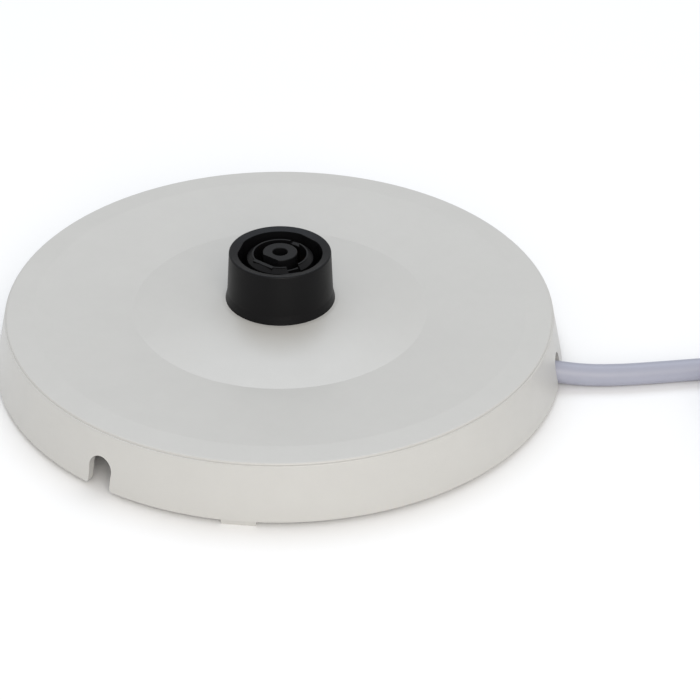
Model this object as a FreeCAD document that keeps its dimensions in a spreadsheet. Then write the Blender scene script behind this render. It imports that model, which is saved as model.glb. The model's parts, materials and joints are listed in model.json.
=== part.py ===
import FreeCAD, Part
import math
import os

import Sketcher
from FreeCAD import Placement, Rotation, Vector

# Cordless power base of an electric kettle: a round moulded cover on three foot tabs, a screwed
# base plate whose hub stores the cord, a 360 degree connector in the middle and a mains cord.
# +Z is up, +X points at the notch that the cord leaves by, and the origin is on the surface that
# the base stands on, under the middle of the connector. Lengths are in millimetres.

doc = FreeCAD.newDocument("kettle_power_base")
sheet = doc.addObject("Spreadsheet::Sheet", "dims")

DRIVING = dict(
    # cover
    foot_rise=1.6, skirt_low_radius=86.0, skirt_top_radius=82.3, ledge_level=17.6, ledge_width=0.45,
    deck_level=18.2, seat_inner_radius=74.0, mound_radius=44.3, mound_foot_level=16.3,
    mound_top_radius=17.6, mound_level=19.5, skin=2.2, skirt_wall=2.0, edge_round=0.3,
    crown_round=0.5,
    foot_width=9.6, foot_depth=2.2, foot_outer_radius=85.6,
    notch_radius=3.9, notch_level=6.9, notch_mouth=7.5, lip_round=0.9,
    # base plate
    plate_level=1.9, plate_thickness=1.8, hub_radius=54.0, hub_wall=2.0, hub_level=14.2,
    flange_radius=62.0, post_radius=3.2, post_place=46.0, pilot_radius=1.2, screw_radius=1.45,
    screw_head_radius=2.7, screw_head_depth=1.1,
    # connector
    rim_level=35.4, rim_radius=15.2, sleeve_low_radius=15.9, flare_level=22.2, flare_radius=16.5,
    rim_round=0.5, rim_dish=0.7,
    sleeve_bore=12.65, sleeve_flat=12.2, neck_radius=13.9, neck_level=15.6, cover_hole=14.2,
    insert_radius=12.15, insert_floor=18.6, ring_outer=9.85, ring_inner=7.9, ring_lip=8.35,
    lip_drop=0.9, shoulder_drop=2.2, boss_drop=0.3, boss_radius=5.15, boss_flat=4.3, earth_bore=2.25,
    carrier_radius=16.0, carrier_thickness=3.0, lug_reach=24.0, lug_width=9.0, lug_place=20.0,
    # contacts
    strip_thickness=0.5, leaf_root=19.0, leaf_tip=29.0, leaf_width=3.2, tab_low=6.0,
    receptacle_width=5.4, receptacle_depth=2.6, receptacle_low=5.2, receptacle_height=6.0,
    barrel_radius=1.6, barrel_length=3.6, core_radius=1.1, wire_level=8.2,
    # cord and plug
    cord_radius=3.3, grommet_length=20.0, grommet_base_radius=5.2, grommet_tip_radius=4.1,
    collar_radius=4.8, collar_width=1.4, clamp_reach=6.2, clamp_width=6.0, clamp_thickness=1.6,
    sheath_level=7.9, coil_radius=39.5, plug_radius=18.6, plug_length=34.0, plug_boot_length=24.0,
    plug_boot_radius=5.4, pin_radius=2.4, pin_length=19.0, pin_spacing=19.0,
    pin_root_radius=2.9, pin_root=8.0, plug_flat=15.6,
)

for row, (alias, value) in enumerate(DRIVING.items(), start=1):
    sheet.set(f"A{row}", alias)
    sheet.set(f"B{row}", str(value))
    sheet.setAlias(f"B{row}", alias)
doc.recompute()

EXIT_ANGLE = 0.0
FREE_NOTCH_ANGLE = -112.5
FOOT_ANGLES = (-84.5, 35.5, 155.5)
COVER_SCREW_ANGLES = (40.0, 160.0, 280.0)
LUG_ANGLES = (80.0, 260.0)
SLEEVE_FLAT_ANGLES = (58.0, 178.0, 298.0)
LIVE_ANGLE = 310.0
NEUTRAL_ANGLE = 69.0
EARTH_ANGLE = 244.0
CORD_ANGLE = 9.0
CORD_DIP = 8.0
GROMMET_NECK_SLACK = 0.4
TIE_THICKNESS = 0.8
TIE_WIDTH = 6.0
TIE_ANGLE = -60.0
PLUG_RINGS = 5
PLUG_GRIPS = 4


class Size:
    """A length that carries its number and the spreadsheet expression that it comes from."""

    def __init__(self, number, text=None):
        self.number = float(number)
        self.text = text or f"{self.number:.6f}"

    def joined(self, other, sign, number):
        return Size(number, f"({self.text} {sign} {as_size(other).text})")

    def __add__(self, other):
        return self.joined(other, "+", self.number + as_size(other).number)

    def __sub__(self, other):
        return self.joined(other, "-", self.number - as_size(other).number)

    def __mul__(self, other):
        return self.joined(other, "*", self.number * as_size(other).number)

    def __neg__(self):
        return self * -1.0

    __radd__ = __add__
    __rmul__ = __mul__


def as_size(item):
    return item if isinstance(item, Size) else Size(item)


class Dims:
    """Every spreadsheet alias as a Size, read as dims.alias."""

    def __init__(self):
        for alias, value in DRIVING.items():
            setattr(self, alias, Size(value, f"dims.{alias}"))


dims = Dims()


def bind(thing, path, size):
    """Sets a property and ties it to the spreadsheet."""
    thing.setExpression(path, as_size(size).text)


def cos(angle):
    return math.cos(math.radians(angle))


def sin(angle):
    return math.sin(math.radians(angle))


def polar(radius, angle, level=0.0):
    return Vector(radius * cos(angle), radius * sin(angle), level)


def place(thing, x, y, z, rotation=None):
    """Puts a thing at three sizes, with an optional rotation."""
    spot = [as_size(value) for value in (x, y, z)]
    thing.Placement = Placement(Vector(*[value.number for value in spot]), rotation or Rotation())
    for axis, value in zip("xyz", spot):
        bind(thing, f"Placement.Base.{axis}", value)


# ---------------------------------------------------------------- shared builders

def new_body(name):
    body = doc.addObject("PartDesign::Body", name)
    body.Label = name
    return body


def origin_plane(body, role):
    return next(item for item in body.Origin.OriginFeatures if item.Role == role)


def new_sketch(body, name, role="XZ_Plane"):
    sketch = body.newObject("Sketcher::SketchObject", name)
    sketch.AttachmentSupport = [(origin_plane(body, role), "")]
    sketch.MapMode = "FlatFace"
    return sketch


def tie_point(sketch, line, x, y):
    """Ties a line's start point to the sheet, across and up."""
    for kind, axis_line, value in (("DistanceX", -2, x), ("DistanceY", -1, y)):
        if abs(value.number) < 1e-9:
            sketch.addConstraint(Sketcher.Constraint("PointOnObject", line, 1, axis_line))
            continue
        index = sketch.addConstraint(Sketcher.Constraint(kind, -1, 1, line, 1, value.number))
        bind(sketch, f"Constraints[{index}]", value)


def draw_outline(sketch, points):
    """Draws a closed outline of straight lines through points of two sizes."""
    points = [(as_size(x), as_size(y)) for x, y in points]
    corners = [Vector(x.number, y.number, 0) for x, y in points]
    count = len(corners)
    lines = [Part.LineSegment(corners[i], corners[(i + 1) % count]) for i in range(count)]
    sketch.addGeometry(lines, False)
    for i in range(count):
        sketch.addConstraint(Sketcher.Constraint("Coincident", i, 2, (i + 1) % count, 1))
    for i, (x, y) in enumerate(points):
        tie_point(sketch, i, x, y)


def revolved(name, points):
    """A body turned about Z from a half outline of (radius, level) points."""
    body = new_body(name)
    sketch = new_sketch(body, f"{name}_outline")
    draw_outline(sketch, points)
    turn = body.newObject("PartDesign::Revolution", f"{name}_turn")
    turn.Profile = sketch
    turn.ReferenceAxis = (sketch, ["V_Axis"])
    turn.Angle = 360.0
    doc.recompute()
    return body


def round_edges(body, wanted, radius):
    """Fillets the edges of a body's tip that a test picks."""
    tip = body.Tip
    names = [f"Edge{i}" for i, edge in enumerate(tip.Shape.Edges, start=1) if wanted(edge)]
    fillet = body.newObject("PartDesign::Fillet", f"{body.Name}_round_{len(body.Group)}")
    fillet.Base = (tip, names)
    bind(fillet, "Radius", radius)
    doc.recompute()
    return fillet


def hoop(radius, level):
    """A test for the circular edge at a radius and level."""
    def wanted(edge):
        box = edge.BoundBox
        flat = box.ZLength < 1e-4 and abs(box.ZMin - level.number) < 1e-3
        return flat and abs(box.XMax - radius.number) < 1e-2 and box.YLength > radius.number
    return wanted


def block(name, length, width, height, x, y, z, angle=0.0):
    """A box whose length runs outward from the point along a polar angle, centred across it."""
    box = doc.addObject("Part::Box", name)
    for path, size in (("Length", length), ("Width", width), ("Height", height)):
        bind(box, path, size)
    half = as_size(width) * 0.5
    place(box, as_size(x) + half * sin(angle), as_size(y) - half * cos(angle), z,
          Rotation(Vector(0, 0, 1), angle))
    return box


def radial_block(name, inner, outer, width, low, high, angle):
    """A box between two radii and two levels, square to a polar angle."""
    inner, low = as_size(inner), as_size(low)
    return block(name, as_size(outer) - inner, width, as_size(high) - low,
                 inner * cos(angle), inner * sin(angle), low, angle)


def rod(name, radius, length, x, y, z, rotation=None):
    """A cylinder from a point, upright unless it is turned."""
    cylinder = doc.addObject("Part::Cylinder", name)
    bind(cylinder, "Radius", radius)
    bind(cylinder, "Height", length)
    place(cylinder, x, y, z, rotation)
    return cylinder


def polar_rod(name, radius, low, high, reach, angle):
    low, reach = as_size(low), as_size(reach)
    return rod(name, radius, as_size(high) - low, reach * cos(angle), reach * sin(angle), low)


def lying(angle, dip=0.0):
    """Turns +Z to a polar angle in the floor plane, dipped below it."""
    return Rotation(Vector(0, 0, 1), angle) * Rotation(Vector(0, 1, 0), 90.0 + dip)


def fused(name, things):
    fuse = doc.addObject("Part::MultiFuse", name)
    fuse.Shapes = things
    fuse.Refine = True
    return fuse


def cut(name, base, tool):
    result = doc.addObject("Part::Cut", name)
    result.Base = base
    result.Tool = tool
    result.Refine = True
    return result


def made(name, shape, placement=None):
    """A sub-part whose shape Part's own functions set."""
    feature = doc.addObject("Part::Feature", name)
    feature.Shape = shape
    if placement:
        feature.Placement = placement
    return feature


def bent_path(points):
    """Straight runs joined by tangent arcs, each as large as its two runs allow."""
    edges, radii = [], []
    here = points[0]
    for before, corner, after in zip(points, points[1:], points[2:]):
        into, out = (corner - before), (after - corner)
        turn = into.getAngle(out)
        short = min(into.Length, out.Length)
        set_back = 0.45 * short
        radius = set_back / math.tan(turn / 2)
        into.normalize()
        out.normalize()
        start, end = corner - into * set_back, corner + out * set_back
        inward = (out - into).normalize()
        middle = corner + inward * (radius / math.cos(turn / 2) - radius)
        edges += [Part.LineSegment(here, start).toShape(), Part.Arc(start, middle, end).toShape()]
        radii.append(radius)
        here = end
    edges.append(Part.LineSegment(here, points[-1]).toShape())
    return Part.Wire(edges), radii


def tube(name, points, radius):
    """A round cord or wire along a bent path, checked against its section times its length."""
    path, radii = bent_path(points)
    heading = (points[1] - points[0]).normalize()
    section = Part.Wire([Part.makeCircle(radius, points[0], heading)])
    shape = path.makePipeShell([section], True, False)
    expected = math.pi * radius ** 2 * path.Length
    if abs(shape.Volume - expected) > 0.01 * expected:
        raise RuntimeError(f"{name}: volume {shape.Volume:.1f}, expected {expected:.1f}")
    smallest = min(radii) if radii else 0.0
    print(f"{name}: length {path.Length:.1f}, smallest radius {smallest:.1f} of {len(radii)}")
    return made(name, shape)


nodes = []


def keep(thing, name):
    thing.Label = name
    nodes.append(thing)
    return thing


# ---------------------------------------------------------------- cover

def notch_cutter(name, angle):
    """A keyhole through the skirt: a round seat for the cord over a narrower mouth."""
    inner = dims.skirt_top_radius - 8.0
    seat = rod(f"{name}_seat", dims.notch_radius, 16.0, inner * cos(angle), inner * sin(angle),
               dims.notch_level, lying(angle))
    mouth = radial_block(f"{name}_mouth", inner, inner + 16.0, dims.notch_mouth, -2.0,
                         dims.notch_level, angle)
    return [seat, mouth]


def make_cover():
    under_mound = dims.mound_level - dims.skin
    outline = [
        (dims.skirt_low_radius, dims.foot_rise),
        (dims.skirt_top_radius, dims.ledge_level),
        (dims.skirt_top_radius - dims.ledge_width, dims.ledge_level),
        (dims.skirt_top_radius - dims.ledge_width, dims.deck_level),
        (dims.seat_inner_radius, dims.deck_level),
        (dims.mound_radius, dims.mound_foot_level),
        (dims.mound_top_radius, dims.mound_level),
        (dims.cover_hole, dims.mound_level),
        (dims.cover_hole, under_mound),
        (dims.mound_top_radius, under_mound),
        (dims.mound_radius, dims.mound_foot_level - dims.skin),
        (dims.seat_inner_radius, dims.deck_level - dims.skin),
        (dims.skirt_top_radius - dims.skirt_wall, dims.deck_level - dims.skin),
        (dims.skirt_low_radius - dims.skirt_wall, dims.foot_rise),
    ]
    shell = revolved("cover_shell", outline)
    top_edge = dims.skirt_top_radius - dims.ledge_width
    ledge, crown = hoop(dims.skirt_top_radius, dims.ledge_level), hoop(top_edge, dims.deck_level)
    round_edges(shell, crown, dims.crown_round)
    round_edges(shell, ledge, dims.edge_round)

    feet = [radial_block(f"foot_{i}", dims.foot_outer_radius - dims.foot_depth,
                         dims.foot_outer_radius, dims.foot_width, 0.0, dims.foot_rise + 0.8, angle)
            for i, angle in enumerate(FOOT_ANGLES)]
    post_low = dims.plate_level + dims.plate_thickness
    post_top = dims.mound_foot_level - dims.skin * 0.5
    posts = [polar_rod(f"cover_post_{i}", dims.post_radius, post_low, post_top,
                       dims.post_place, angle) for i, angle in enumerate(COVER_SCREW_ANGLES)]
    lug_posts = [polar_rod(f"lug_post_{i}", dims.post_radius, dims.neck_level,
                           dims.mound_level - dims.skin * 0.5, dims.lug_place, angle)
                 for i, angle in enumerate(LUG_ANGLES)]
    solid = fused("cover_solid", [shell] + feet + posts + lug_posts)

    pilots = [polar_rod(f"cover_pilot_{i}", dims.pilot_radius, post_low - 1.0, post_top - 1.2,
                        dims.post_place, angle) for i, angle in enumerate(COVER_SCREW_ANGLES)]
    pilots += [polar_rod(f"lug_pilot_{i}", dims.pilot_radius, dims.neck_level - 1.0,
                         dims.mound_level - 0.9, dims.lug_place, angle)
               for i, angle in enumerate(LUG_ANGLES)]
    cutters = notch_cutter("exit_notch", EXIT_ANGLE) + notch_cutter("free_notch", FREE_NOTCH_ANGLE)
    pierced = cut("cover_pierced", solid, fused("cover_cutters", pilots + cutters))
    doc.recompute()

    def is_lip(edge):
        box, middle = edge.BoundBox, edge.CenterOfMass
        flat = abs(box.ZMin - DRIVING["foot_rise"]) < 1e-3 and box.ZLength < 1e-3
        bearing = math.degrees(math.atan2(middle.y, middle.x))
        beside = any(1.5 < abs(bearing - angle) < 3.5 for angle in (EXIT_ANGLE, FREE_NOTCH_ANGLE))
        return flat and beside and edge.Length < 2.6
    lips = doc.addObject("Part::Fillet", "top_cover")
    lips.Base = pierced
    edges = [i for i, edge in enumerate(pierced.Shape.Edges, start=1) if is_lip(edge)]
    lip_round = DRIVING["lip_round"]
    lips.Edges = [(i, lip_round, lip_round) for i in edges]
    print(f"cover lips rounded: {len(edges)}")
    keep(lips, "top_cover")


# ---------------------------------------------------------------- base plate and its screws

def cord_axis_point(reach):
    """A point on the cord's axis inside the skirt, measured back from the grommet's tip."""
    outward = lying(CORD_ANGLE, CORD_DIP).multVec(Vector(0, 0, 1))
    return Vector(74.0, -1.6, 6.0) - outward * reach


def cord_frame(reach):
    """Placement with +Z along the cord, out of the base, at a point on its axis."""
    return Placement(cord_axis_point(reach), lying(CORD_ANGLE, CORD_DIP))


def make_base_plate():
    top = dims.plate_level + dims.plate_thickness
    plate = revolved("plate_disc", [
        (0.0, dims.plate_level),
        (dims.flange_radius, dims.plate_level),
        (dims.flange_radius, top),
        (dims.hub_radius, top),
        (dims.hub_radius, dims.hub_level),
        (dims.hub_radius - dims.hub_wall, dims.hub_level),
        (dims.hub_radius - dims.hub_wall, top),
        (0.0, top),
    ])
    rim = hoop(dims.flange_radius, top)
    low_rim = hoop(dims.flange_radius, dims.plate_level)
    round_edges(plate, lambda edge: rim(edge) or low_rim(edge), dims.edge_round * 2.0)

    clamp_spot = clamp_point()
    side = polar(1.0, CORD_ANGLE + 90.0)
    reach = DRIVING["clamp_reach"]
    posts = []
    for i, sign in enumerate((-1.0, 1.0)):
        spot = clamp_spot + side * (sign * reach)
        posts.append(rod(f"clamp_post_{i}", dims.post_radius - 0.6,
                         dims.sheath_level + dims.cord_radius - top + 0.2, spot.x, spot.y,
                         top - 0.2))
    saddle_top = dims.sheath_level - dims.cord_radius
    back = clamp_spot - polar(DRIVING["clamp_width"] / 2, CORD_ANGLE)
    saddle = block("clamp_saddle", dims.clamp_width, dims.cord_radius * 2.0, saddle_top - top + 0.2,
                   back.x, back.y, top - 0.2, CORD_ANGLE)
    solid = fused("plate_solid", [plate, saddle] + posts)

    holes = [polar_rod(f"plate_hole_{i}", dims.screw_radius + 0.25, 0.0, top + 1.0,
                       dims.post_place, angle) for i, angle in enumerate(COVER_SCREW_ANGLES)]
    sinks = [polar_rod(f"plate_sink_{i}", dims.screw_head_radius + 0.3, 0.0,
                       dims.plate_level + dims.screw_head_depth, dims.post_place, angle)
             for i, angle in enumerate(COVER_SCREW_ANGLES)]
    clamp_pilots = []
    for i, sign in enumerate((-1.0, 1.0)):
        spot = clamp_spot + side * (sign * reach)
        clamp_pilots.append(rod(f"clamp_pilot_{i}", dims.pilot_radius, 8.0, spot.x, spot.y,
                                dims.sheath_level - 4.4))
    # The grommet's neck passes through the hub wall between two flat seats.
    seats = []
    collar_back = DRIVING["grommet_length"] + DRIVING["hub_wall"] + GROMMET_NECK_SLACK
    for name, radius, reach, length in (
            ("cord_passage", dims.cord_radius + 0.8, collar_back + 4.0, 10.0),
            ("grommet_seat", dims.grommet_base_radius + 0.2, DRIVING["grommet_length"], 5.0),
            ("collar_seat", dims.collar_radius + 0.2, collar_back + 5.0, 5.0)):
        start = cord_axis_point(reach)
        seats.append(rod(name, radius, length, start.x, start.y, start.z,
                         lying(CORD_ANGLE, CORD_DIP)))
    gate_start = polar(DRIVING["hub_radius"], -7.0)
    gate = block("flange_gate", 14.0, 16.0, 6.0, gate_start.x, gate_start.y, 0.0, CORD_ANGLE)
    tools = fused("plate_tools", holes + sinks + clamp_pilots + seats + [gate])
    keep(cut("base_plate", solid, tools), "base_plate")


def clamp_point():
    """Where the cord grip stands, on the cord's line in plan, on the base plate."""
    spot = cord_axis_point(31.0)
    return Vector(spot.x, spot.y, 0)


def screw_set(name, spots, head_low, tip_level, up):
    """A group of equal pan head screws; up is +1 for shanks that rise, -1 for shanks that drop."""
    parts = []
    for i, (x, y) in enumerate(spots):
        seat = head_low + dims.screw_head_depth if up > 0 else head_low
        head = rod(f"{name}_head_{i}", dims.screw_head_radius, dims.screw_head_depth, x, y,
                   head_low)
        low, high = (seat, tip_level) if up > 0 else (tip_level, seat)
        shank = rod(f"{name}_shank_{i}", dims.pilot_radius, high - low, x, y, low)
        drive = rod(f"{name}_drive_{i}", dims.pilot_radius * 0.9, dims.screw_head_depth * 0.5, x, y,
                    head_low if up > 0 else head_low + dims.screw_head_depth * 0.5)
        parts.append(cut(f"{name}_{i}", fused(f"{name}_solid_{i}", [head, shank]), drive))
    group = doc.addObject("Part::Compound", name)
    group.Links = parts
    keep(group, name)


def polar_spots(reach, angles):
    return [(reach * cos(angle), reach * sin(angle)) for angle in angles]


def make_screws():
    screw_set("cover_screws", polar_spots(dims.post_place, COVER_SCREW_ANGLES), dims.plate_level,
              dims.mound_foot_level - dims.skin * 0.5 - 1.8, +1)
    lug_low = dims.neck_level - dims.carrier_thickness
    screw_set("connector_screws", polar_spots(dims.lug_place, LUG_ANGLES),
              lug_low - dims.screw_head_depth, dims.mound_level - 1.2, +1)
    side = polar(1.0, CORD_ANGLE + 90.0)
    spots = []
    for sign in (-1.0, 1.0):
        spot = clamp_point() + side * (sign * DRIVING["clamp_reach"])
        spots.append((as_size(spot.x), as_size(spot.y)))
    bar_top = dims.sheath_level + dims.cord_radius + dims.clamp_thickness
    screw_set("clamp_screws", spots, bar_top, dims.sheath_level - 3.8, -1)


def make_clamp_bar():
    spot = clamp_point()
    length = DRIVING["clamp_reach"] * 2 + 6.0
    back = spot + polar(-length / 2, CORD_ANGLE + 90.0)
    low = dims.sheath_level + dims.cord_radius
    bar = block("clamp_blank", length, dims.clamp_width, dims.clamp_thickness, back.x, back.y, low,
                CORD_ANGLE + 90.0)
    side = polar(1.0, CORD_ANGLE + 90.0)
    holes = []
    for i, sign in enumerate((-1.0, 1.0)):
        at = spot + side * (sign * DRIVING["clamp_reach"])
        holes.append(rod(f"clamp_hole_{i}", dims.screw_radius, 6.0, at.x, at.y, low - 1.0))
    keep(cut("clamp_bar", bar, fused("clamp_holes", holes)), "clamp_bar")


# ---------------------------------------------------------------- connector

def make_sleeve():
    blank = revolved("sleeve_blank", [
        (0.0, dims.neck_level),
        (dims.neck_radius, dims.neck_level),
        (dims.neck_radius, dims.mound_level),
        (dims.flare_radius, dims.mound_level),
        (dims.flare_radius - 0.25, dims.mound_level + 1.0),
        (dims.sleeve_low_radius, dims.flare_level),
        (dims.rim_radius, dims.rim_level),
        (dims.sleeve_bore, dims.rim_level - dims.rim_dish),
        (0.0, dims.rim_level - dims.rim_dish),
    ])
    round_edges(blank, hoop(dims.rim_radius, dims.rim_level), dims.rim_round)
    bore = rod("sleeve_bore", dims.sleeve_bore, dims.rim_level - dims.neck_level + 2.0, 0.0, 0.0,
               dims.neck_level - 1.0)
    flats = [radial_block(f"sleeve_flat_{i}", dims.sleeve_flat, dims.sleeve_flat + 3.0, 12.0,
                          dims.neck_level - 2.0, dims.rim_level + 2.0, angle)
             for i, angle in enumerate(SLEEVE_FLAT_ANGLES)]
    cavity = cut("sleeve_cavity", bore, fused("sleeve_flats", flats))
    keep(cut("connector_sleeve", blank, cavity), "connector_sleeve")


def make_insert():
    lip_level = dims.rim_level - dims.lip_drop
    boss_level = dims.rim_level - dims.boss_drop
    body = revolved("insert_blank", [
        (dims.earth_bore, dims.neck_level),
        (dims.insert_radius, dims.neck_level),
        (dims.insert_radius, dims.insert_floor),
        (dims.ring_outer, dims.insert_floor),
        (dims.ring_outer, dims.rim_level - dims.shoulder_drop),
        (dims.ring_lip, lip_level - 0.25),
        (dims.ring_lip, lip_level),
        (dims.ring_inner, lip_level),
        (dims.ring_inner, dims.insert_floor),
        (dims.boss_radius, dims.insert_floor),
        (dims.boss_radius, boss_level),
        (dims.earth_bore, boss_level),
    ])
    boss_top = hoop(dims.boss_radius, boss_level)
    bore_top = hoop(dims.earth_bore, boss_level)
    round_edges(body, lambda edge: boss_top(edge) or bore_top(edge), dims.edge_round)

    # The ring is thickened to a flat on its inner side, opposite the boss's flat.
    chord = radial_block("ring_chord", dims.ring_inner - 0.8, dims.ring_inner + 0.4, 7.0,
                         dims.insert_floor - 0.2, lip_level, EARTH_ANGLE)
    solid = fused("insert_solid", [body, chord])

    above = dims.rim_level + 1.0
    floor_below = dims.neck_level - 1.0
    slots = [
        # live leaf: a slot down the ring's outer side, and a break in its lip
        radial_block("live_slot", dims.ring_outer - 1.4, dims.ring_outer + 0.6,
                     dims.leaf_width + 0.8, dims.insert_floor, above, LIVE_ANGLE),
        radial_block("live_break", dims.ring_inner - 0.4, dims.ring_outer, dims.leaf_width + 0.6,
                     lip_level - 1.2, above, LIVE_ANGLE),
        # neutral leaf: a slot up the ring's inner side, stepped at the lip
        radial_block("neutral_slot", dims.ring_inner - 0.4, dims.ring_inner + 1.4,
                     dims.leaf_width + 0.8, dims.insert_floor, lip_level - 1.6, NEUTRAL_ANGLE),
        radial_block("neutral_break", dims.ring_inner - 0.4, dims.ring_outer, 3.2,
                     lip_level - 1.0, above, NEUTRAL_ANGLE),
        # earth leaf: a flat on the boss with a window through to the pin's bore
        radial_block("boss_flat_cut", dims.boss_flat, dims.boss_radius + 0.4, 8.0,
                     dims.insert_floor, above, EARTH_ANGLE),
        radial_block("earth_window", 0.5, dims.boss_radius + 0.3, dims.leaf_width + 0.6,
                     dims.insert_floor, dims.leaf_tip + 1.0, EARTH_ANGLE),
    ]
    roots = [radial_block(f"{name}_root_slot", reach - 0.3, reach + 0.3, dims.leaf_width,
                          floor_below, dims.insert_floor + 0.1, angle)
             for name, reach, angle in contact_places()]
    keep(cut("connector_insert", solid, fused("insert_tools", slots + roots)), "connector_insert")


def contact_places():
    """Name, radius of the strip's middle and polar angle of each contact."""
    return (
        ("live", dims.ring_outer + 0.55, LIVE_ANGLE),
        ("neutral", dims.ring_inner - 0.55, NEUTRAL_ANGLE),
        ("earth", dims.earth_bore + 0.45, EARTH_ANGLE),
    )


def make_carrier():
    low = dims.neck_level - dims.carrier_thickness
    disc = rod("carrier_disc", dims.carrier_radius, dims.carrier_thickness, 0.0, 0.0, low)
    lugs = [radial_block(f"carrier_lug_{i}", 8.0, dims.lug_reach, dims.lug_width, low,
                         dims.neck_level, angle) for i, angle in enumerate(LUG_ANGLES)]
    holes = [polar_rod(f"carrier_hole_{i}", dims.screw_radius, low - 1.0, dims.neck_level + 1.0,
                       dims.lug_place, angle) for i, angle in enumerate(LUG_ANGLES)]
    roots = [radial_block(f"{name}_tab_slot", reach - 0.3, reach + 0.3, dims.leaf_width, low - 1.0,
                          dims.neck_level + 1.0, angle)
             for name, reach, angle in contact_places()]
    drain = rod("earth_pin_drain", dims.earth_bore - 1.0, 8.0, 0.0, 0.0, low - 1.0)
    solid = fused("carrier_solid", [disc] + lugs)
    keep(cut("connector_carrier", solid, fused("carrier_tools", holes + roots + [drain])),
         "connector_carrier")


def make_contacts():
    half = dims.strip_thickness * 0.5
    for name, reach, angle in contact_places():
        inner = reach - half
        tab = radial_block(f"{name}_tab", inner, reach + half, dims.leaf_width - 0.2, dims.tab_low,
                           dims.leaf_root - 0.1, angle)
        keep(tab, f"{name}_tab")

        leaf = radial_block(f"{name}_leaf_strip", inner, reach + half, dims.leaf_width - 0.4,
                            dims.leaf_root, dims.leaf_tip, angle)
        # The tip carries a round contact rivet on the side that the kettle's ring or pin rubs.
        faces_in = name == "earth"
        start = reach - (half + 0.35) if faces_in else reach
        if name == "neutral":
            start = reach - (half + 0.35)
        rivet = rod(f"{name}_rivet", 1.0, half + 0.35, start * cos(angle), start * sin(angle),
                    dims.leaf_tip - 1.4, lying(angle))
        keep(fused(f"{name}_leaf", [leaf, rivet]), f"{name}_leaf")

        low = dims.receptacle_low
        shoe = radial_block(f"{name}_shoe", reach - dims.receptacle_depth * 0.5,
                            reach + dims.receptacle_depth * 0.5, dims.receptacle_width, low,
                            low + dims.receptacle_height, angle)
        out = reach + dims.receptacle_depth * 0.5 - 0.2
        barrel = rod(f"{name}_barrel", dims.barrel_radius, dims.barrel_length, out * cos(angle),
                     out * sin(angle), dims.wire_level, lying(angle))
        slot = radial_block(f"{name}_shoe_slot", inner - 0.05, reach + half + 0.05,
                            dims.leaf_width, dims.tab_low - 0.2, low + 20.0, angle)
        solid = fused(f"{name}_receptacle_solid", [shoe, barrel])
        keep(cut(f"{name}_receptacle", solid, slot), f"{name}_receptacle")


# ---------------------------------------------------------------- wires, cord and plug

def wire_start(reach, angle):
    """The end of a receptacle's barrel, where its wire begins."""
    out = reach.number + DRIVING["receptacle_depth"] / 2 - 0.2 + DRIVING["barrel_length"]
    return polar(out, angle, DRIVING["wire_level"])


def make_wires():
    radius = DRIVING["core_radius"]
    sheath_end = cord_axis_point(41.0)
    sheath_end.z = DRIVING["sheath_level"]
    along, side = polar(1.0, CORD_ANGLE), polar(1.0, CORD_ANGLE + 90.0)
    lift = Vector(0, 0, 1)
    ends = {
        "live": sheath_end + lift * 1.5,
        "neutral": sheath_end + side * 1.4 - lift * 0.7,
        "earth": sheath_end - side * 1.4 - lift * 0.7,
    }
    bends = {
        "live": [Vector(14.0, -14.0, 8.5), Vector(21.0, -11.8, 9.6)],
        "neutral": [Vector(9.0, 16.0, 8.2), Vector(18.0, 10.0, 8.0), Vector(24.0, -4.0, 8.0)],
        "earth": [Vector(-2.5, -15.5, 8.2), Vector(6.0, -21.0, 8.2), Vector(19.0, -19.5, 8.0)],
    }
    for name, reach, angle in contact_places():
        start = wire_start(reach, angle)
        end = ends[name]
        points = [start, start + polar(3.0, angle)] + bends[name] + [end - along * 4.0, end]
        keep(tube(f"{name}_wire", points, radius), f"{name}_wire")


def make_inner_cord():
    """The sheathed stretch from the cord grip to the grommet's tip."""
    level = DRIVING["sheath_level"]
    tail = cord_axis_point(41.0)
    grip = cord_axis_point(28.0)
    tail.z = grip.z = level
    points = [tail, grip, cord_axis_point(20.0), cord_axis_point(0.0)]
    points.insert(2, (grip + cord_axis_point(20.0)) * 0.5 + Vector(0, 0, 0.25))
    keep(tube("inner_cord", points, DRIVING["cord_radius"]), "inner_cord")


def make_grommet():
    length, wall = dims.grommet_length, dims.hub_wall + GROMMET_NECK_SLACK
    body = revolved("grommet_turned", [
        (dims.cord_radius, -(dims.collar_width + wall)),
        (dims.collar_radius, -(dims.collar_width + wall)),
        (dims.collar_radius, -wall),
        (dims.cord_radius + 0.7, -wall),
        (dims.cord_radius + 0.7, 0.0),
        (dims.grommet_base_radius, 0.0),
        (dims.grommet_base_radius, 2.0),
        (dims.grommet_tip_radius, length),
        (dims.cord_radius, length),
    ])
    round_edges(body, hoop(dims.grommet_tip_radius, length), dims.edge_round)
    body.Placement = cord_frame(DRIVING["grommet_length"])
    keep(body, "cord_grommet")


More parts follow.
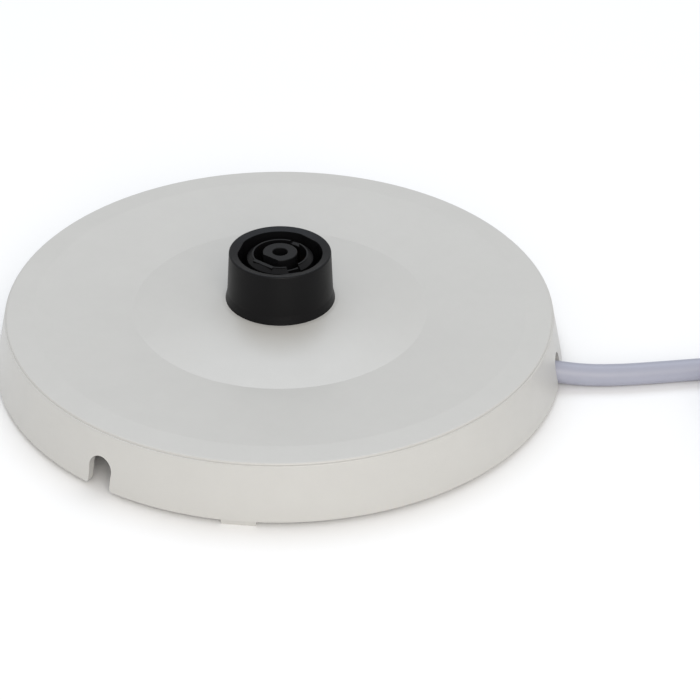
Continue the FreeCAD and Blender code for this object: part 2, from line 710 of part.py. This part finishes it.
def make_cord():
    """The free cord: out of the notch, across the surface and into a flat neat coil."""
    radius = DRIVING["cord_radius"]
    floor = radius + 0.05
    route = [
        cord_axis_point(0.0), Vector(83.8, -0.05, 4.6), Vector(93.6, 1.75, floor + 0.1),
        Vector(104.0, 4.45, floor), Vector(114.6, 8.2, floor), Vector(126.2, 12.45, floor),
        Vector(139.0, 17.0, floor), Vector(152.0, 22.1, floor),
    ]
    heading = Vector(13.0, 4.6, 0).normalize()
    join = route[-1] + heading * 13.0
    keep(tube("cord_tube", route, radius), "cord_tube")

    # The coil turns clockwise, seen from above, and rises one cord thickness a turn.
    coil_radius = DRIVING["coil_radius"]
    centre = join + Vector(heading.y, -heading.x, 0) * coil_radius
    half_width = radius + 0.5
    low = TIE_THICKNESS + 0.1
    high = low + 4 * radius + 0.8
    corner = 2.6
    ring = Part.makeCylinder(coil_radius + half_width, high - low, Vector(centre.x, centre.y, low))
    ring = ring.cut(Part.makeCylinder(coil_radius - half_width, high - low,
                                      Vector(centre.x, centre.y, low)))
    hoops = [edge for edge in ring.Edges if edge.BoundBox.ZLength < 1e-3]
    keep(made("cord_coil", ring.makeFillet(corner, hoops)), "cord_coil")
    make_coil_tie(centre, coil_radius, half_width + 0.2, low - 0.1, high + 0.1)

    leave = math.degrees(math.atan2(join.y - centre.y, join.x - centre.x)) - 57.0
    away = polar(1.0, leave - 90.0)
    start = Vector(centre.x, centre.y, 0) + polar(coil_radius, leave, low + 3 * radius + 0.4)
    plug_level = DRIVING["plug_radius"]
    tail = [start + away * 12.0 + Vector(0, 0, 0.8)]
    tail.append(start + away * 23.0 + Vector(0.4, 0.4, 3.4))
    tail.append(start + away * 35.0 + Vector(1.0, 1.0, 6.6))
    tail.append(start + away * 46.0 + Vector(1.8, 1.8, plug_level - start.z))
    tail.append(tail[-1] + polar(10.0, leave - 86.0))
    keep(tube("cord_tail", tail, radius), "cord_tail")
    print(f"coil centre {centre.x:.2f} {centre.y:.2f}, leaves at {leave:.2f}")
    for spot in tail:
        print(f"tail {spot.x:.2f} {spot.y:.2f} {spot.z:.2f}")
    return tail[-1], leave - 86.0


def make_coil_tie(centre, coil_radius, half_width, low, high):
    """A flat band round the turns, on the side away from the base."""
    wall = TIE_THICKNESS
    middle = Vector(centre.x, centre.y, 0) + polar(coil_radius, TIE_ANGLE)
    corner = middle - polar(half_width + wall, TIE_ANGLE)
    outer = block("tie_outer", 2 * (half_width + wall), TIE_WIDTH, high - low + 2 * wall, corner.x,
                  corner.y, low - wall, TIE_ANGLE)
    corner = middle - polar(half_width, TIE_ANGLE)
    inner = block("tie_inner", 2 * half_width, TIE_WIDTH * 2, high - low, corner.x, corner.y, low,
                  TIE_ANGLE)
    keep(cut("coil_tie", outer, inner), "coil_tie")


def make_plug(entry, angle):
    """A moulded two-pin plug with side earth contacts, lying on the surface, cord end first."""
    frame = Placement(entry, lying(angle) * Rotation(Vector(0, 0, 1), 90.0))
    boot, length = dims.plug_boot_length, dims.plug_length
    face = boot + length
    narrow = dims.cord_radius + 1.0
    swell = dims.plug_boot_radius + 1.2 - narrow
    outline = [(0.0, 0.0), (narrow, 0.0)]
    for i in range(PLUG_RINGS):
        for share, sink in ((0.12, 0.0), (0.12, 1.0), (0.17, 1.0), (0.17, 0.0)):
            part = share + i * 0.155
            outline.append((narrow + swell * part - sink, boot * part))
    outline += [
        (narrow + swell, boot),
        (dims.plug_boot_radius + 6.6, boot + 4.0),
        (dims.plug_radius - 3.0, boot + 10.0),
        (dims.plug_radius - 0.5, boot + 18.0),
        (dims.plug_radius, boot + 23.0),
        (dims.plug_radius, face),
        (0.0, face),
    ]
    body = revolved("plug_turned", outline)
    round_edges(body, hoop(dims.plug_radius, face), dims.edge_round * 4.0)
    flats = []
    for i, side in enumerate((90.0, 270.0)):
        flats.append(radial_block(f"plug_flat_{i}", dims.plug_flat, dims.plug_radius + 1.0, 9.0,
                                  face - 20.0, face + 1.0, side))
    grips = [radial_block(f"plug_grip_{i}_{side}", dims.plug_radius - 0.9, dims.plug_radius + 1.0,
                          15.0, boot + 15.0 + 3.6 * i, boot + 16.6 + 3.6 * i, side)
             for i in range(PLUG_GRIPS) for side in (0, 180)]
    pins, holes = [], []
    for i, side in enumerate((-0.5, 0.5)):
        x = dims.pin_spacing * side
        straight = dims.pin_length - dims.pin_radius
        root = rod(f"plug_pin_root_{i}", dims.pin_root_radius, dims.pin_root, x, 0.0,
                   face - dims.pin_root)
        shank = rod(f"plug_pin_shank_{i}", dims.pin_radius, straight, x, 0.0, face)
        tip = doc.addObject("Part::Sphere", f"plug_pin_tip_{i}")
        bind(tip, "Radius", dims.pin_radius)
        place(tip, x, 0.0, face + straight)
        pins.append(fused(f"plug_pin_{i}", [root, shank, tip]))
        holes.append(rod(f"plug_pin_hole_{i}", dims.pin_root_radius, dims.pin_root + 1.0, x, 0.0,
                         face - dims.pin_root))
    moulding = cut("plug_body", body, fused("plug_tools", flats + grips + holes))
    moulding.Placement = frame
    keep(moulding, "plug_body")

    group = doc.addObject("Part::Compound", "plug_pins")
    group.Links = pins
    group.Placement = frame
    keep(group, "plug_pins")

    clips = [radial_block(f"plug_clip_{i}", dims.plug_flat, dims.plug_flat + 0.9, 6.4,
                          face - 18.0, face - 1.5, side) for i, side in enumerate((90.0, 270.0))]
    earth = doc.addObject("Part::Compound", "plug_earth_contacts")
    earth.Links = clips
    earth.Placement = frame
    keep(earth, "plug_earth_contacts")


# ---------------------------------------------------------------- build, check, write

make_cover()
make_base_plate()
make_screws()
make_clamp_bar()
make_sleeve()
make_insert()
make_carrier()
make_contacts()
make_wires()
make_inner_cord()
make_grommet()
plug_entry, plug_angle = make_cord()
make_plug(plug_entry, plug_angle)
doc.recompute()

for item in doc.Objects:
    if "Invalid" in item.State or "Error" in item.State:
        raise RuntimeError(f"{item.Label} failed: {item.State}")
for node in nodes:
    if node.Shape.isNull() or not node.Shape.isValid():
        raise RuntimeError(f"{node.Label} has no valid shape")

os.makedirs("parts", exist_ok=True)
for node in nodes:
    node.Shape.exportStep(f"parts/{node.Label}.step")
    box = node.Shape.BoundBox
    print(f"{node.Label}: {len(node.Shape.Solids)} solids, z {box.ZMin:.2f} to {box.ZMax:.2f}")
print(f"{len(nodes)} nodes")
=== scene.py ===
import json
import math

import bpy
from mathutils import Matrix, Vector


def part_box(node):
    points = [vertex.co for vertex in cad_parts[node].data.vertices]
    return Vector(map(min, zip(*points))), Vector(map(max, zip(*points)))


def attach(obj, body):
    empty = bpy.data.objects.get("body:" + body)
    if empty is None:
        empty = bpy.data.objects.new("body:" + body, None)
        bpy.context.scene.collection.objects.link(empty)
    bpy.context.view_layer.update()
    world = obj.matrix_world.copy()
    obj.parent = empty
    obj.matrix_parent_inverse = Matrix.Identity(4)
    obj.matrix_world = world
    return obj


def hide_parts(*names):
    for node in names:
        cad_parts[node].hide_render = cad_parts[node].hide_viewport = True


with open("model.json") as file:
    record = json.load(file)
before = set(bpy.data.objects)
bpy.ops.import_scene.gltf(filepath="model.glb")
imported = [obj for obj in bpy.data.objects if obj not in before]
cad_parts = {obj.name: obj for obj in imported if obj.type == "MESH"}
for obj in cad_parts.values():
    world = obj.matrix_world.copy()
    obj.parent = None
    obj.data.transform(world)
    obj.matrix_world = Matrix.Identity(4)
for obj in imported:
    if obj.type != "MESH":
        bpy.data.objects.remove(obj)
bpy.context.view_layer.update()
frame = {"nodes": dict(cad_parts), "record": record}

# The power base stands on its feet at z = 0, with the connector's axis on Z and the cord's notch
# towards +X. Everything is in metres.
MM = 0.001
COIL_LOW, COIL_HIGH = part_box("cord_coil")

# ---------------------------------------------------------------- camera

CAMERA_AZIMUTH = math.radians(10.8)
CAMERA_ELEVATION = math.radians(33.66)
CAMERA_ROLL = math.radians(1.03)
CAMERA_DISTANCE = 0.570
CAMERA_LENS = 95.4
CAMERA_SENSOR = 36.0
CAMERA_CLIP = (0.01, 20.0)
# The point aimed at, to the right of and above the frame's origin as the camera sees it.
AIM_RIGHT, AIM_UP = 0.02127, 0.00037


def make_camera():
    flat = math.cos(CAMERA_ELEVATION)
    right = Vector((math.cos(CAMERA_AZIMUTH), math.sin(CAMERA_AZIMUTH), 0))
    ahead = Vector((-math.sin(CAMERA_AZIMUTH) * flat, math.cos(CAMERA_AZIMUTH) * flat,
                    -math.sin(CAMERA_ELEVATION)))
    up = right.cross(ahead)
    across = math.cos(CAMERA_ROLL) * right + math.sin(CAMERA_ROLL) * up
    upward = math.cos(CAMERA_ROLL) * up - math.sin(CAMERA_ROLL) * right
    data = bpy.data.cameras.new("camera")
    data.sensor_width = CAMERA_SENSOR
    data.lens = CAMERA_LENS
    data.clip_start, data.clip_end = CAMERA_CLIP
    camera = bpy.data.objects.new("camera", data)
    turn = Matrix((across, upward, -ahead)).transposed()
    camera.matrix_world = turn.to_4x4()
    camera.location = right * AIM_RIGHT + up * AIM_UP - ahead * CAMERA_DISTANCE
    bpy.context.collection.objects.link(camera)
    bpy.context.scene.camera = camera


make_camera()

# ---------------------------------------------------------------- cord

CORD_DIAMETER = 6.6 * MM
# Height of the cord's middle where it lies on the worktop.
CORD_FLOOR = 3.35 * MM
CORD_SMOOTHNESS = 10
COIL_TURNS = 2
POINTS_PER_TURN = 16
# The cord runs this far inside the coil's outer edge, and the turns stand this far apart.
COIL_INSET = 0.5 * MM
TURN_GAP = 0.1 * MM
# The whole coil in turns, then where the climb to the second turn starts and how long it takes.
COIL_SWEEP = 2.16
CLIMB_START, CLIMB_LENGTH = 0.55, 0.9
# The route from the grommet's tip to where the coil begins.
CORD_OUT = (
    (0.0740, -0.0016, 0.0060), (0.0838, -0.00005, 0.0046),
    (0.0936, 0.00175, CORD_FLOOR + 0.1 * MM),
    (0.1040, 0.00445, CORD_FLOOR), (0.1146, 0.0082, CORD_FLOOR), (0.1262, 0.01245, CORD_FLOOR),
    (0.1390, 0.0170, CORD_FLOOR), (0.1520, 0.0221, CORD_FLOOR),
)
# The route from the top turn to the plug's boot.
CORD_BACK = (
    (0.2110, 0.01322, 0.0120), (0.22013, 0.00692, 0.0146), (0.23025, 0.00022, 0.0178),
    (0.23977, -0.00568, 0.0186), (0.24811, -0.0112, 0.0186),
)
COIL_ENTRY, COIL_EXIT = math.radians(109.5), math.radians(52.5)


def coil_points():
    """Two stacked turns, clockwise from above, one cord thickness up on each turn."""
    middle = (COIL_LOW + COIL_HIGH) / 2
    reach = (COIL_HIGH.x - COIL_LOW.x) / 2 - CORD_DIAMETER / 2 - COIL_INSET
    low = COIL_LOW.z + CORD_DIAMETER / 2 + TURN_GAP
    sweep = COIL_ENTRY - COIL_EXIT + COIL_TURNS * 2 * math.pi
    count = round(POINTS_PER_TURN * sweep / (2 * math.pi))
    points = []
    for i in range(count + 1):
        part = i / count
        angle = COIL_ENTRY - sweep * part
        rise = min(max((part * COIL_SWEEP - CLIMB_START) / CLIMB_LENGTH, 0.0), 1.0)
        height = low + (CORD_DIAMETER + TURN_GAP) * rise * rise * (3 - 2 * rise)
        points.append((middle.x + reach * math.cos(angle), middle.y + reach * math.sin(angle),
                       height))
    return points


def make_cord():
    """One NURBS curve: each point carries the cord's radius, and the bevel of 1 scales it."""
    points = list(CORD_OUT) + coil_points() + list(CORD_BACK)
    curve = bpy.data.curves.new("mains_cord", "CURVE")
    curve.dimensions = "3D"
    spline = curve.splines.new("NURBS")
    spline.points.add(len(points) - 1)
    for target, point in zip(spline.points, points):
        target.co = (*point, 1.0)
        target.radius = CORD_DIAMETER / 2
    spline.order_u = 3
    spline.use_endpoint_u = True
    spline.resolution_u = CORD_SMOOTHNESS
    curve.bevel_depth = 1.0
    curve.bevel_resolution = CORD_SMOOTHNESS
    curve.use_fill_caps = True
    cord = bpy.data.objects.new("mains_cord", curve)
    bpy.context.collection.objects.link(cord)
    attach(cord, "base")
    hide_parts("cord_tube", "cord_coil", "cord_tail")
    return cord


cord = make_cord()

# ---------------------------------------------------------------- materials

# Most of a noise's values lie between these two.
NOISE_LOW, NOISE_HIGH = 0.3, 0.7
MOULDED_GLOSS_SPREAD = 0.03
MOULDED_WAVE = 0.04 * MM
STREAK_DEPTH = 0.01 * MM


class Surface:
    """A procedural material: a principled shader with object coordinates and helpers."""

    def __init__(self, name, roughness, specular=0.5, metallic=0.0):
        self.material = bpy.data.materials.new(name)
        self.material.use_nodes = True
        self.tree = self.material.node_tree
        self.tree.nodes.clear()
        self.output = self.tree.nodes.new("ShaderNodeOutputMaterial")
        self.shader = self.tree.nodes.new("ShaderNodeBsdfPrincipled")
        self.shader.inputs["Roughness"].default_value = roughness
        self.shader.inputs["Specular IOR Level"].default_value = specular
        self.shader.inputs["Metallic"].default_value = metallic
        self.link(self.shader.outputs["BSDF"], self.output.inputs["Surface"])
        self.place = self.tree.nodes.new("ShaderNodeTexCoord")

    def link(self, start, end):
        self.tree.links.new(start, end)

    def noise(self, scale, detail=4.0, roughness=0.55):
        node = self.tree.nodes.new("ShaderNodeTexNoise")
        node.inputs["Scale"].default_value = scale
        node.inputs["Detail"].default_value = detail
        node.inputs["Roughness"].default_value = roughness
        self.link(self.place.outputs["Object"], node.inputs["Vector"])
        return node.outputs["Fac"]

    def blend(self, value, low, high):
        """Runs from one colour to another over the middle of a noise's values."""
        node = self.tree.nodes.new("ShaderNodeValToRGB")
        ends = node.color_ramp.elements
        ends[0].position, ends[0].color = NOISE_LOW, (*low, 1)
        ends[1].position, ends[1].color = NOISE_HIGH, (*high, 1)
        self.link(value, node.inputs["Fac"])
        return node.outputs["Color"]

    def spread(self, value, low, high):
        """Maps the middle of a noise's values on to a range."""
        node = self.tree.nodes.new("ShaderNodeMapRange")
        node.inputs["From Min"].default_value = NOISE_LOW
        node.inputs["From Max"].default_value = NOISE_HIGH
        node.inputs["To Min"].default_value = low
        node.inputs["To Max"].default_value = high
        self.link(value, node.inputs["Value"])
        return node.outputs["Result"]

    def color(self, socket):
        self.link(socket, self.shader.inputs["Base Color"])

    def roughness(self, socket):
        self.link(socket, self.shader.inputs["Roughness"])

    def bump(self, *layers):
        """Stacks (height value, distance in metres, strength) bumps."""
        last = None
        for value, distance, strength in layers:
            node = self.tree.nodes.new("ShaderNodeBump")
            node.inputs["Distance"].default_value = distance
            node.inputs["Strength"].default_value = strength
            self.link(value, node.inputs["Height"])
            if last:
                self.link(last, node.inputs["Normal"])
            last = node.outputs["Normal"]
        self.link(last, self.shader.inputs["Normal"])


def tinted(color, factor):
    return tuple(min(1.0, channel * factor) for channel in color)


def moulded(name, color, roughness, grain, grain_depth, variation=0.02, specular=0.5):
    """Moulded plastic: cloudy and speckled colour, a fine spark-eroded grain and uneven gloss."""
    surface = Surface(name, roughness, specular)
    speckle = surface.noise(scale=70.0, detail=9.0, roughness=0.8)
    surface.color(surface.blend(speckle, tinted(color, 1 - variation),
                                tinted(color, 1 + variation)))
    gloss = surface.noise(scale=160.0, detail=3.0)
    surface.roughness(surface.spread(gloss, roughness - MOULDED_GLOSS_SPREAD,
                                     roughness + MOULDED_GLOSS_SPREAD))
    surface.bump((surface.noise(scale=30.0, detail=1.0), MOULDED_WAVE, 0.15),
                 (surface.noise(grain, detail=1.0, roughness=0.5), grain_depth, 0.35))
    return surface.material


def metal(name, color, roughness):
    """Drawn or pressed metal: uneven tint and gloss, with faint streaks."""
    surface = Surface(name, roughness, metallic=1.0)
    streak = surface.noise(scale=900.0, detail=3.0)
    surface.color(surface.blend(surface.noise(scale=220.0), tinted(color, 0.88),
                                tinted(color, 1.06)))
    surface.roughness(surface.spread(streak, roughness - 0.06, roughness + 0.1))
    surface.bump((streak, STREAK_DEPTH, 0.3))
    return surface.material


# Colour and roughness, and for a moulding how fine and how deep its grain is.
MATERIALS = {
    "cream_cover": moulded("cream_cover", (0.547, 0.542, 0.521), 0.34, 2000.0, 0.006 * MM,
                           specular=0.6),
    "black_moulding": moulded("black_moulding", (0.005, 0.005, 0.0056), 0.4, 3000.0, 0.015 * MM,
                              variation=0.1, specular=0.15),
    "screw_steel": metal("screw_steel", (0.55, 0.55, 0.56), 0.32),
    "contact_copper": metal("contact_copper", (0.72, 0.45, 0.25), 0.3),
    "tinned_brass": metal("tinned_brass", (0.74, 0.7, 0.6), 0.3),
    "brown_insulation": moulded("brown_insulation", (0.12, 0.05, 0.025), 0.35, 2200.0, 0.01 * MM),
    "blue_insulation": moulded("blue_insulation", (0.03, 0.12, 0.42), 0.35, 2200.0, 0.01 * MM),
    "green_insulation": moulded("green_insulation", (0.2, 0.42, 0.05), 0.35, 2200.0, 0.01 * MM),
    "cord_white": moulded("cord_white", (0.365, 0.375, 0.45), 0.4, 2600.0, 0.015 * MM,
                          variation=0.03),
    "white_moulding": moulded("white_moulding", (0.42, 0.43, 0.5), 0.38, 2600.0, 0.02 * MM),
    "plug_metal": metal("plug_metal", (0.72, 0.72, 0.72), 0.22),
}


def paint(thing, slot):
    if not thing.material_slots:
        thing.data.materials.append(MATERIALS[slot])
    for held in thing.material_slots:
        held.material = MATERIALS[slot]


for part in frame["record"]["subparts"]:
    paint(frame["nodes"][part["node"]], part["material_slot"])
paint(cord, "cord_white")

# ---------------------------------------------------------------- floor and light

FLOOR_HALF = 3.0
WORLD_GLOW = 0.64
LIGHT_AIM = (0, 0, 0.02)


def make_floor():
    mesh = bpy.data.meshes.new("floor")
    corners = [(-1, -1), (1, -1), (1, 1), (-1, 1)]
    mesh.from_pydata([(x * FLOOR_HALF, y * FLOOR_HALF, 0) for x, y in corners], [],
                     [(0, 1, 2, 3)])
    floor = bpy.data.objects.new("floor", mesh)
    bpy.context.collection.objects.link(floor)
    surface = Surface("floor", 0.9, 0.1)
    surface.color(surface.blend(surface.noise(scale=6.0), (0.96, 0.96, 0.96),
                                (0.975, 0.975, 0.975)))
    mesh.materials.append(surface.material)


def softbox(name, spot, width, height, glow, color):
    """A soft rectangular light, equally bright all over its face, that faces the connector."""
    data = bpy.data.lights.new(name, "AREA")
    data.shape = "RECTANGLE"
    data.size, data.size_y = width, height
    data.energy = glow * math.pi * width * height
    data.color = color
    light = bpy.data.objects.new(name, data)
    light.location = spot
    light.rotation_mode = "QUATERNION"
    light.rotation_quaternion = (Vector(LIGHT_AIM) - Vector(spot)).to_track_quat("-Z", "Y")
    bpy.context.collection.objects.link(light)


def make_world():
    world = bpy.data.worlds.new("studio")
    bpy.context.scene.world = world
    world.use_nodes = True
    back = world.node_tree.nodes["Background"]
    back.inputs["Color"].default_value = (1, 1, 1, 1)
    back.inputs["Strength"].default_value = WORLD_GLOW


bpy.context.scene.view_settings.view_transform = "Standard"
make_floor()
make_world()
softbox("back_softbox", (-0.2, 0.85, 1.5), 1.5, 0.9, 2.1, (0.84, 0.94, 1.08))
softbox("front_softbox", (0.55, -1.4, 1.0), 1.2, 1.2, 3.4, (1.0, 0.95, 0.885))

bpy.context.view_layer.update()
